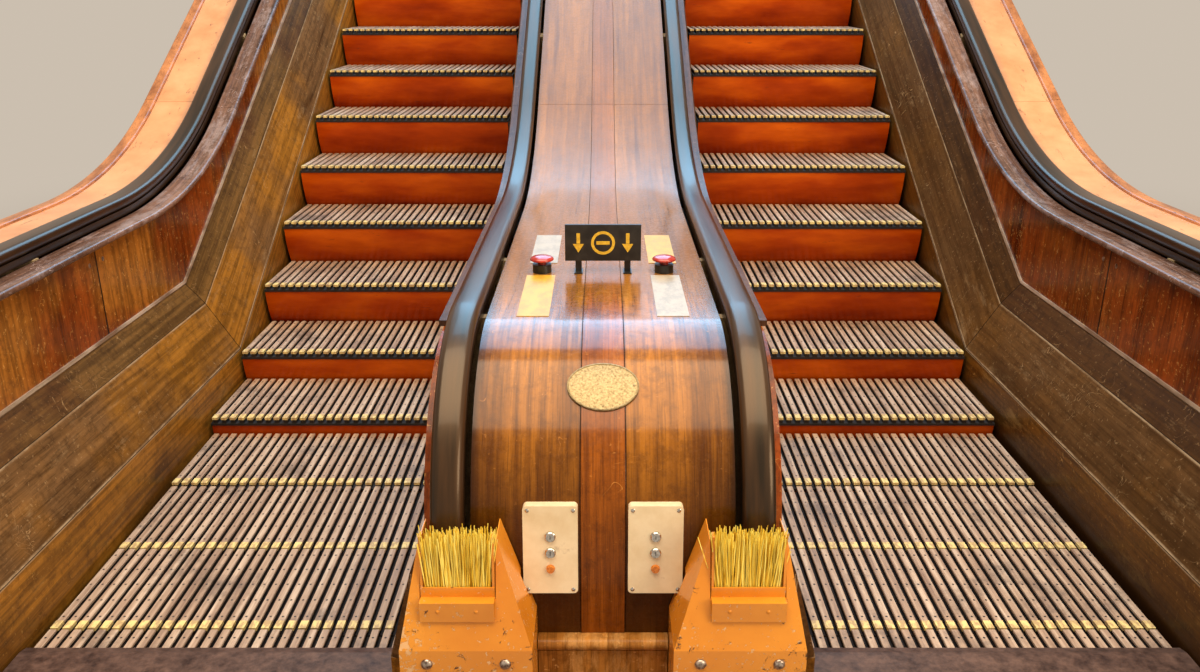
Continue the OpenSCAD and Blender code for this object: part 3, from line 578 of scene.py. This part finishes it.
trim.feed(Base_Color=trim.mix(crack * 0.8, browner, (0.05, 0.015, 0.006)),
          Roughness=trim_tone * 0.3 + 0.25)
beside_handrail("outer_deck", deck, "outer_decks",
                foot=0.012, inner=1.835, outer=1.999, top=0.030, bottom=0.050, corner=0.0,
                joints=JOINTS)
beside_handrail("outer_trim", trim, "outer_trims",
                foot=0.012, inner=2.000, outer=2.050, top=0.018, bottom=0.050, corner=0.009,
                joints=JOINTS)

# The centre deck: two wide boards of varnished hardwood and a narrow strip, bent down over both
# rounded ends, with a dark edge along the handrails. The varnish is thick and shiny where the deck
# bends, brown on the flat, and darker low on the rounded ends.
shared = {"rough": 0.24, "coat": 0.45, "run": "over", "scuffed": 0.68, "scratched": 0.70,
          "polished": True}
deck_board = timber("deck board", dark=(0.100, 0.028, 0.003), light=(0.52, 0.195, 0.018),
                    wear=(0.52, 0.22, 0.05), **shared)
deck_strip = timber("deck strip", dark=(0.11, 0.025, 0.002), light=(0.44, 0.125, 0.009),
                    wear=(0.56, 0.25, 0.06), fine=1.4, **shared)
beside_handrail("centre_deck_board", deck_board, "centre_deck_boards",
                foot=0.270, inner=0.0505, outer=0.290, top=0.045, bottom=0.065, corner=0.0,
                joints=JOINTS)
beside_handrail("centre_strip_bent", deck_strip, "centre_strip",
                foot=0.270, inner=-0.050, outer=0.050, top=0.044, bottom=0.065, corner=0.002,
                joints=JOINTS, both=False)
dark_edge = timber("dark edge", dark=(0.03, 0.012, 0.006), light=(0.12, 0.05, 0.02), rough=0.3,
                   coat=0.18,
                   wear=(0.2, 0.12, 0.08), run="over")
dark_edge.on("centre_trims")

# The bead at the foot of each rounded end: a hardwood moulding nailed round it, rubbed back to pale
# wood by shoes.
plinth = timber("worn plinth", dark=(0.13, 0.042, 0.006), light=(0.54, 0.235, 0.045), rough=0.3,
                coat=0.12,
                wear=(0.70, 0.42, 0.16), run="over", scuffed=0.52)
plinth.on("plinths")

# The steelwork: wheels, rails, beams and housing, welded and bolted together out of sight and
# painted a plain matt grey.
steel = Finish("grey steelwork", Roughness=0.55)
steel.feed(Base_Color=steel.ramp(steel.noise(5.0, 6.0, 0.65), (0.3, (0.075, 0.075, 0.08)),
                                 (0.7, (0.13, 0.13, 0.14))))
steel.on("step_frames", "step_rails", "truss_chords", "cross_beams", "soffit", "end_plates",
         "trestles", "trestle_ties")

# The handrail guards: folded sheet enamelled orange, screwed to the floor plate around the place
# where each handrail goes in. Trolleys and shoes have chipped the corners down to rusty metal.
guard = Finish("guard enamel", Coat_Weight=0.35, Coat_Roughness=0.1)
guard_tone = guard.noise(4.0, 5.0, 0.6)
low_down = 1 - guard.along(2).above(1.08, 0.16)
at_edge = 1 - guard.along(0).away(0).away(0.430).above(0.038, 0.042)
right_hand = guard.along(0).above(0.0, 0.01)
speck = guard.noise(85.0, 3.0, 0.7) + low_down * 0.07 + at_edge * (1 - right_hand) * 0.11
speck = speck.above(0.665, 0.012)
chip = guard.noise(24.0, 8.0, 0.8, 0.6) + low_down * (at_edge * (right_hand * 0.13 + 0.03) + 0.05)
chip = chip.above(0.64, 0.01)
enamel = guard.ramp(guard_tone, (0.3, (0.66, 0.22, 0.014)), (0.7, (0.82, 0.33, 0.030)))
rust = guard.ramp(guard.noise(60.0, 4.0), (0.35, (0.030, 0.012, 0.006)), (0.65, (0.17, 0.06, 0.02)))
guard.feed(Base_Color=guard.mix(chip, guard.mix(speck * 0.8, enamel, (0.80, 0.52, 0.28)), rust),
           Roughness=chip * 0.4 + guard_tone * 0.15 + 0.18)
guard.raised((chip + speck) * -1.0, 0.0008)
guard.on("handrail_guards", "brush_holders")

# The brushes: stiff yellow fibre standing in an angle holder, splayed and frayed by the handrail.
# One recipe stands a cone of three sides on each point of a small grid, leaning out from the middle.
RAIL_X, TURNED_X, BRUSH_OUT, BRUSH_Z = 0.302, 1.825, 0.060, 0.452
bristle = Finish("bristle fibre", Roughness=0.6)
strand = bristle.noise((260, 90, 4), 3.0)
bristle.feed(Base_Color=bristle.ramp(strand, (0.32, (0.55, 0.30, 0.01)), (0.42, (0.95, 0.68, 0.05)),
                                     (0.60, (1.0, 0.90, 0.24))))
fan = Recipe("bristle brush", Width=0.132, Depth=0.026, Height=0.14, Seed=1)
plot = fan.node("GeometryNodeMeshGrid", {}, {"Size X": fan.size("Width"), "Size Y": fan.size("Depth"),
                                             "Vertices X": 60, "Vertices Y": 7})
hair = fan.node("GeometryNodeMeshCone", {"fill_type": "NONE"},
                {"Vertices": 3, "Side Segments": 1, "Radius Top": 0.0011, "Radius Bottom": 0.0015,
                 "Depth": fan.size("Height")})
where = fan.node("ShaderNodeSeparateXYZ", {}, {"Vector": fan.node("GeometryNodeInputPosition", {}, {})})
lean = fan.node("FunctionNodeRandomValue", {"data_type": "FLOAT_VECTOR"},
                {"Min": (-0.08, -0.09, -0.6), "Max": (0.06, 0.09, 0.6), "Seed": fan.size("Seed")})
splay = fan.node("ShaderNodeVectorMath", {"operation": "ADD"},
                 {0: lean, 1: fan.vector(0.0, where * 0.9)})
tall = fan.node("FunctionNodeRandomValue", {"data_type": "FLOAT"},
                {2: 0.84, 3: 1.06, "Seed": fan.size("Seed")}, out=1)
tuft = fan.copied(hair, plot, Rotation=splay, Scale=fan.vector(1.0, 1.0, tall))
fan.ends_with(fan.copied(tuft, fan.size("Geometry")), bristle)
brushes = []
for seed, across in enumerate((RAIL_X + 0.001, -RAIL_X - 0.001, TURNED_X - 0.001, 0.001 - TURNED_X)):
    for far in (0, 1):
        y = END_Y - END_BEND - BRUSH_OUT
        spot = across, (FAR - y if far else y) - MIDDLE, BRUSH_Z + DEEP + RISE * far
        brushes.append(fan.make("bristles_%d" % (len(brushes) + 1), [spot], Seed=seed + 7 * far))
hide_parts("brushes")

# The screws: worn round-headed steel ones in the guards and along the panels' seams, and small ones in
# the brush holders that were painted with them. A few bent bristles stick out beside each brush.


def loose_piece(name, finish, build, body="machine"):
    """A piece built vertex by vertex, shaded smooth between its sharp edges."""
    form = bmesh.new()
    build(form)
    bmesh.ops.recalc_face_normals(form, faces=form.faces)
    mesh = bpy.data.meshes.new(name)
    form.to_mesh(mesh)
    form.free()
    mesh.shade_smooth()
    mesh.set_sharp_from_angle(angle=math.radians(35))
    mesh.materials.append(finish.material)
    piece = bpy.data.objects.new(name, mesh)
    bpy.context.collection.objects.link(piece)
    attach(piece, body)
    return piece


def lathe(form, profile, place, around):
    """Turns (radius, height) points about the place's own upright axis, closed at both ends."""
    rings = []
    if profile[0][0] > 0:
        profile = [(0, profile[0][1])] + profile
    for radius, height in profile:
        turned = [math.tau * i / around for i in range(around)] if radius else [0]
        points = [Vector((radius * math.cos(a), radius * math.sin(a), height)) for a in turned]
        rings.append([form.verts.new(place @ point) for point in points])
    for low, high in zip(rings, rings[1:]):
        for i in range(around):
            j = (i + 1) % around
            face = [low[i % len(low)], low[j % len(low)], high[j % len(high)], high[i % len(high)]]
            form.faces.new(list(dict.fromkeys(face)))


def at_landing(place, far):
    """A place by the lower landing, or its mirror image by the upper one, in the scene's frame."""
    if far:
        place = Matrix.Translation((0, FAR, RISE)) @ Matrix.Diagonal((1, -1, 1, 1)) @ place
    return Matrix.Translation((0, -MIDDLE, DEEP)) @ place


def at_guards(out, up, tilt, spots):
    """Places on the front of all eight guards: across from the handrail, out from it and up."""
    for far in (0, 1):
        for side in (-1, 1):
            for across in [RAIL_X + spot for spot in spots] + [TURNED_X - spot for spot in spots]:
                yield at_landing(Matrix.Translation((side * across, END_Y - END_BEND - out, up))
                                 @ Matrix.Rotation(math.radians(tilt), 4, "X"), far)


def dome_screws(form):
    domed = [(0.0118 * math.cos(a), 0.0015 + 0.0062 * math.sin(a))
             for a in [math.radians(15 * i) for i in range(6)]]
    for place in at_guards(out=0.1195, up=0.312, tilt=86.2, spots=(-0.097, 0.068)):
        lathe(form, [(0.0125, -0.001), (0.0122, 0.0015)] + domed + [(0, 0.0077)], place, 20)


def holder_screws(form):
    for place in at_guards(out=0.104, up=0.430, tilt=90, spots=(-0.0385, 0.0415)):
        lathe(form, [(0.0042, -0.0005), (0.004, 0.0008), (0.0028, 0.0018), (0, 0.0022)], place, 12)


def panel_screws(form):
    head = [(0.0085, -0.001), (0.0082, 0.0008), (0.0055, 0.0018), (0, 0.0020)]
    for seam, base in ((PANEL_SEAM, DEEP), (-PANEL_SEAM, DEEP + RISE)):
        for side in (-1, 1):
            turn = Matrix.Rotation(-side * math.radians(90), 4, "Y")
            for beside_seam in (-0.045, 0.045):
                for up in (0.42, 0.78):
                    spot = Matrix.Translation((side * PANEL_FACE, seam + beside_seam, base + up))
                    lathe(form, head, spot @ turn, 16)


def strays(form):
    leans = (0.30, 0.17, -0.24, -0.14)
    beside_brush = at_guards(out=0.062, up=BRUSH_Z, tilt=0, spots=(-0.066, -0.058, 0.064, 0.071))
    for number, place in enumerate(beside_brush):
        lean = Matrix.Rotation(leans[number % 4] * (1 if number // 4 % 2 else -1), 4, "Y")
        long = 0.10 + 0.012 * (number % 5)
        lathe(form, [(0.0011, 0), (0.0009, long), (0, long + 0.001)], place @ lean, 3)


screw_steel = Finish("worn screw steel", Metallic=0.9)
screw_tone = screw_steel.noise(120.0, 4.0)
screw_steel.feed(Base_Color=screw_steel.ramp(screw_tone, (0.35, (0.16, 0.10, 0.07)),
                                             (0.6, (0.60, 0.52, 0.45))),
                 Roughness=screw_tone * 0.4 + 0.15)
loose_piece("dome_screws", screw_steel, dome_screws)
loose_piece("panel_screws", screw_steel, panel_screws)
loose_piece("holder_screws", guard, holder_screws)
loose_piece("stray_bristles", bristle, strays)

# The control plates: cream enamelled plates with a fixing screw in each corner, two key switches
# and an orange lamp, hung on the rounded front beside the strip.
PLATE_X, PLATE_FACE, PLATE_UP, FRONT_BEND = 0.115, 0.014, 0.05, 0.435
SWITCHES = (0.032, -0.006)
plate = Finish("cream enamel", Coat_Weight=0.2)
plate_tone = plate.noise(14.0, 6.0, 0.65)
cream = plate.ramp(plate_tone, (0.3, (0.74, 0.60, 0.39)), (0.6, (0.86, 0.74, 0.54)))
plate.feed(Base_Color=plate.mix(plate_tone.above(0.66, 0.05) * 0.5, cream, (0.35, 0.24, 0.13)),
           Roughness=plate_tone * 0.2 + 0.25)
plate.on("control_plates")
chrome = Finish("switch chrome", Metallic=1.0)
handled = chrome.noise(160.0, 4.0)
chrome.feed(Base_Color=chrome.ramp(handled, (0.35, (0.42, 0.38, 0.34)), (0.6, (0.66, 0.63, 0.58))),
            Roughness=handled * 0.3 + 0.05)
chrome.on("key_switches")
lamp_glow = Finish("lamp plastic", Emission_Strength=0.06)
cloudy = lamp_glow.noise(220.0, 3.0)
glow = lamp_glow.ramp(cloudy, (0.35, (0.44, 0.12, 0.01)), (0.6, (0.66, 0.22, 0.03)))
lamp_glow.feed(Base_Color=glow, Emission_Color=glow, Roughness=cloudy * 0.3 + 0.08)
lamp_glow.on("lamps")
black = Finish("black enamel", Roughness=0.35)
black.feed(Base_Color=black.ramp(black.noise(30.0, 5.0), (0.4, (0.008, 0.008, 0.008)),
                                 (0.75, (0.03, 0.028, 0.026))))
black.on("sign_board", "sign_feet", "button_bases")


def on_plates(out, spots):
    """Places on all four control plates, their own upright axes pointing out of the plates."""
    centre = math.sqrt(FRONT_BEND ** 2 - PLATE_UP ** 2)
    for far in (0, 1):
        for side in (-1, 1):
            for across, up in spots:
                yield at_landing(Matrix.Translation((side * PLATE_X + across, END_Y - centre,
                                                     HAND_TOP - END_BEND + PLATE_UP))
                                 @ Matrix.Rotation(-math.asin(PLATE_UP / FRONT_BEND), 4, "X")
                                 @ Matrix.Translation((0, -PLATE_FACE - out, up))
                                 @ Matrix.Rotation(math.radians(90), 4, "X"), far)


def plate_screws(form):
    head = [(0.0045, 0), (0.0045, 0.0012), (0.003, 0.0022), (0, 0.0026)]
    for place in on_plates(0, [(across, up) for across in (-0.05, 0.05) for up in (-0.093, 0.093)]):
        lathe(form, head, place, 12)


def switch_rings(form):
    ring = [(0, 0.007), (0.0035, 0.007), (0.0035, 0.0062), (0.0095, 0.0062), (0.0118, 0.004),
            (0.0122, 0), (0, 0)]
    for place in on_plates(0, [(0, up) for up in SWITCHES]):
        lathe(form, ring, place, 28)


def switch_slots(form):
    for place in on_plates(0.0072, [(0, up) for up in SWITCHES]):
        bmesh.ops.create_cube(form, size=1, matrix=place @ Matrix.Diagonal((0.0016, 0.0075, 0.0012, 1)))


loose_piece("plate_screws", chrome, plate_screws)
loose_piece("switch_rings", chrome, switch_rings)
loose_piece("key_slots", black, switch_slots)

# The stop buttons: red moulded mushrooms, each on a stem that a spring holds up and that slides down
# through a black collar when the button is pressed.
BUTTON_X, BUTTON_Y, DECK_Z = 0.175, END_Y + 0.42, HAND_TOP - 0.045
red = Finish("button red", Roughness=0.2, Coat_Weight=0.4)
red.feed(Base_Color=red.ramp(red.noise(25.0, 4.0), (0.3, (0.30, 0.012, 0.006)),
                             (0.7, (0.46, 0.03, 0.012))))
domed_top = [(0.034 * math.cos(a), 0.038 + 0.011 * math.sin(a))
             for a in [math.radians(10 * i) for i in range(9)]]
mushroom = [(0, 0.013), (0.012, 0.013), (0.012, 0.0335), (0.030, 0.0338), (0.0338, 0.036), *domed_top,
            (0, 0.049)]
for side, across in (("left", -BUTTON_X), ("right", BUTTON_X)):
    foot_of_cap = Matrix.Translation((across, BUTTON_Y - MIDDLE, DECK_Z + DEEP))
    cap_piece = loose_piece(side + "_stop_button_cap", red,
                            lambda form: lathe(form, mushroom, foot_of_cap, 48), side + "_button")
    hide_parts(side + "_stop_button")

# The sign board: a black plate on two feet over the deck, with a plain ring and bar and two
# arrows that point down to the buttons.
SIGN_FACE, SIGN_FEET, HALF_SIGN = 0.0134, 0.036, 0.0525
yellow = Finish("sign yellow")
faded = yellow.noise(90.0, 5.0)
yellow.feed(Base_Color=yellow.ramp(faded, (0.35, (0.62, 0.38, 0.03)), (0.6, (0.80, 0.53, 0.05))),
            Roughness=faded * 0.3 + 0.3)


def sign_marks(form):
    """Thin flat marks on the face of the board, each given by points across and up from its middle."""
    y, z = BUTTON_Y - SIGN_FACE - MIDDLE, DECK_Z + SIGN_FEET + HALF_SIGN + DEEP
    inner, outer, bar_x, bar_z = 0.026, 0.034, 0.019, 0.005

    def slab(points):
        face = form.faces.new([form.verts.new((x, y, z + up)) for x, up in points])
        out = bmesh.ops.extrude_face_region(form, geom=[face])["geom"]
        bmesh.ops.translate(form, vec=(0, 0.0006, 0),
                            verts=[v for v in out if isinstance(v, bmesh.types.BMVert)])

    ring = [math.tau * i / 40 for i in range(40)]
    for a, b in zip(ring, ring[1:] + ring[:1]):
        slab([(outer * math.cos(a), outer * math.sin(a)), (outer * math.cos(b), outer * math.sin(b)),
              (inner * math.cos(b), inner * math.sin(b)), (inner * math.cos(a), inner * math.sin(a))])
    slab([(-bar_x, -bar_z), (bar_x, -bar_z), (bar_x, bar_z), (-bar_x, bar_z)])
    for across in (-0.070, 0.070):
        slab([(across - 0.005, 0.028), (across + 0.005, 0.028), (across + 0.005, -0.002),
              (across - 0.005, -0.002)])
        slab([(across - 0.016, -0.003), (across + 0.016, -0.003), (across, -0.028)])


loose_piece("sign_marks", yellow, sign_marks)

# The label plates, left bare: thin enamelled plates glued to the deck, two yellow and two cream, each
# scuffed darker where cases were put down.
for name, tone, labels in (("yellow enamel", (0.70, 0.40, 0.035), "yellow_labels"),
                           ("pale enamel", (0.50, 0.43, 0.34), "cream_labels")):
    sheet = Finish(name, Roughness=0.35)
    rub_off = sheet.noise((30, 16, 30), 8.0, 0.75).above(0.52, 0.10)
    sheet.feed(Base_Color=sheet.mix(rub_off * 0.6, tone, shade(tone, 0.55)))
    sheet.on(labels)

# The oval plates: cast brass bent round each end and pinned to it, bare but for a raised rim and
# four pins, with a coarse grain from the casting.
OVAL_LEAN, RIM_X, RIM_UP = 0.611, 0.0795, 0.0615
RIM_WIDE, RIM_HIGH, RIM_OUT, RIM_STEPS = 0.0024, 0.0022, 0.0045, 72
brass = Finish("dull brass", Metallic=0.8)
cast = brass.noise(190.0, 5.0, 0.7)
brass.feed(Base_Color=brass.ramp(cast, (0.35, (0.14, 0.095, 0.040)), (0.65, (0.40, 0.31, 0.165))),
           Roughness=cast * 0.4 + 0.2)
brass.raised(cast, 0.0012)
brass.on("oval_plates")


def rim_and_pins(form):
    """A bead along the plate's edge and a pin inside it at each end, top and bottom."""
    def on_front(across, up, over):
        height = math.sqrt((FRONT_BEND + over) ** 2 - up * up)
        return Vector((across, END_Y + up * math.cos(OVAL_LEAN) - height * math.sin(OVAL_LEAN),
                       HAND_TOP - END_BEND + up * math.sin(OVAL_LEAN) + height * math.cos(OVAL_LEAN)))

    def on_rim(a, b):
        return on_front((RIM_X + RIM_WIDE * math.cos(b)) * math.cos(a),
                        (RIM_UP + RIM_WIDE * math.cos(b)) * math.sin(a),
                        RIM_OUT + RIM_HIGH * math.sin(b))

    for far in (0, 1):
        landing = at_landing(Matrix.Identity(4), far)
        rings = [[form.verts.new(landing @ on_rim(math.tau * i / RIM_STEPS, math.tau * j / 8))
                  for j in range(8)]
                 for i in range(RIM_STEPS)]
        for ring, next_ring in zip(rings, rings[1:] + rings[:1]):
            for j in range(8):
                form.faces.new([ring[j], next_ring[j], next_ring[(j + 1) % 8], ring[(j + 1) % 8]])
        for across, up in ((0.071, 0), (-0.071, 0), (0, 0.053), (0, -0.053)):
            base = on_front(across, up, 0.0048)
            out = (on_front(across, up, 0.01) - base).to_track_quat("Z", "Y").to_matrix().to_4x4()
            lathe(form, [(0.003, 0), (0.0028, 0.0008), (0.0016, 0.0016), (0, 0.0018)],
                  landing @ Matrix.Translation(base) @ out, 10)


loose_piece("oval_rims", brass, rim_and_pins)

# The studio: a plain pale floor that fades into a pale backdrop some metres out. A large warm softbox
# hangs over the lower landing, a small one stands beside it, and two cool ones hang over the climb.
PALE = (0.60, 0.52, 0.43, 1)


def pale_rays(made):
    """1 for the rays that see the backdrop: from the camera, off gloss and through glass."""
    camera, gloss, glass = (made.node("ShaderNodeLightPath", {}, {}, out=number)
                            for number in (0, 3, 6))
    return camera.math("MAXIMUM", camera, gloss.math("MAXIMUM", gloss, glass))


bpy.ops.mesh.primitive_plane_add(size=200, location=(0, 0, solid_box[0][2] - 0.002))
ground = bpy.context.object
ground.name = "studio_floor"
paper = Finish("studio floor", Roughness=0.9)
paper.feed(Base_Color=paper.ramp(paper.noise(0.4, 3.0), (0.3, (0.60, 0.55, 0.48)),
                                 (0.7, (0.64, 0.59, 0.52))))
ground.data.materials.append(paper.material)
reach = paper.node("ShaderNodeVectorMath", {"operation": "LENGTH"}, {0: paper.place}, out=1)
haze = paper.node("ShaderNodeEmission", {}, {"Color": PALE})
blended = paper.node("ShaderNodeMixShader", {}, {0: reach.above(5.0, 5.0) * pale_rays(paper),
                                                 1: Worth(paper, paper.shader.outputs[0]), 2: haze})
paper.tree.links.new(blended.socket, paper.tree.nodes["Material Output"].inputs["Surface"])

world = bpy.data.worlds.new("studio")
bpy.context.scene.world = world
world.use_nodes = True
sky = Nodes()
sky.tree = world.node_tree
lit = sky.node("ShaderNodeBackground", {}, {"Color": (1.0, 0.80, 0.58, 1), "Strength": 0.34})
backdrop = sky.node("ShaderNodeBackground", {}, {"Color": PALE})
either = sky.node("ShaderNodeMixShader", {}, {0: pale_rays(sky), 1: lit, 2: backdrop})
sky.tree.links.new(either.socket, sky.tree.nodes["World Output"].inputs["Surface"])


def softbox(name, place, toward, size, power, tint):
    lamp = bpy.data.lights.new(name, "AREA")
    lamp.shape, lamp.energy, lamp.color = "RECTANGLE", power, tint
    lamp.size, lamp.size_y = size
    made = bpy.data.objects.new(name, lamp)
    bpy.context.collection.objects.link(made)
    made.location = place
    made.rotation_euler = (Vector(toward) - Vector(place)).to_track_quat("-Z", "Y").to_euler()


WARM, COOL = (1.0, 0.82, 0.60), (0.28, 0.64, 1.0)
softbox("overhead", (0, -4.4, 6.5), (0, -3.0, 1.0), (6, 5), 560, WARM)
softbox("landing", (0, 1.0, 7.2), (0, 1.0, 0), (3.6, 3.2), 210, COOL)
softbox("upper_climb", (0, 3.2, 5.7), (0, -2.2, 3.0), (3.6, 3.0), 190, COOL)
softbox("side", (4.6, -7.4, 3.6), (-0.8, -3.4, 1.0), (3, 2.5), 190, (1.0, 0.80, 0.56))

# The camera stands on the lower landing in line with the centre strip, at eye height over the treads
# and tilted down, with the photograph's field of view.
EYE, LOOK_DOWN, LENS, SENSOR, SHIFT = 1.66, 19.71, 29.64, 36, -0.0025
camera = bpy.data.objects.new("camera", bpy.data.cameras.new("camera"))
bpy.context.collection.objects.link(camera)
camera.location = (0, -6.01487, DEEP + EYE)
camera.rotation_euler = (math.radians(90 - LOOK_DOWN), 0, 0)
camera.data.sensor_width, camera.data.lens, camera.data.shift_x = SENSOR, LENS, SHIFT
bpy.context.scene.camera = camera
bpy.context.scene.view_settings.view_transform = "Standard"
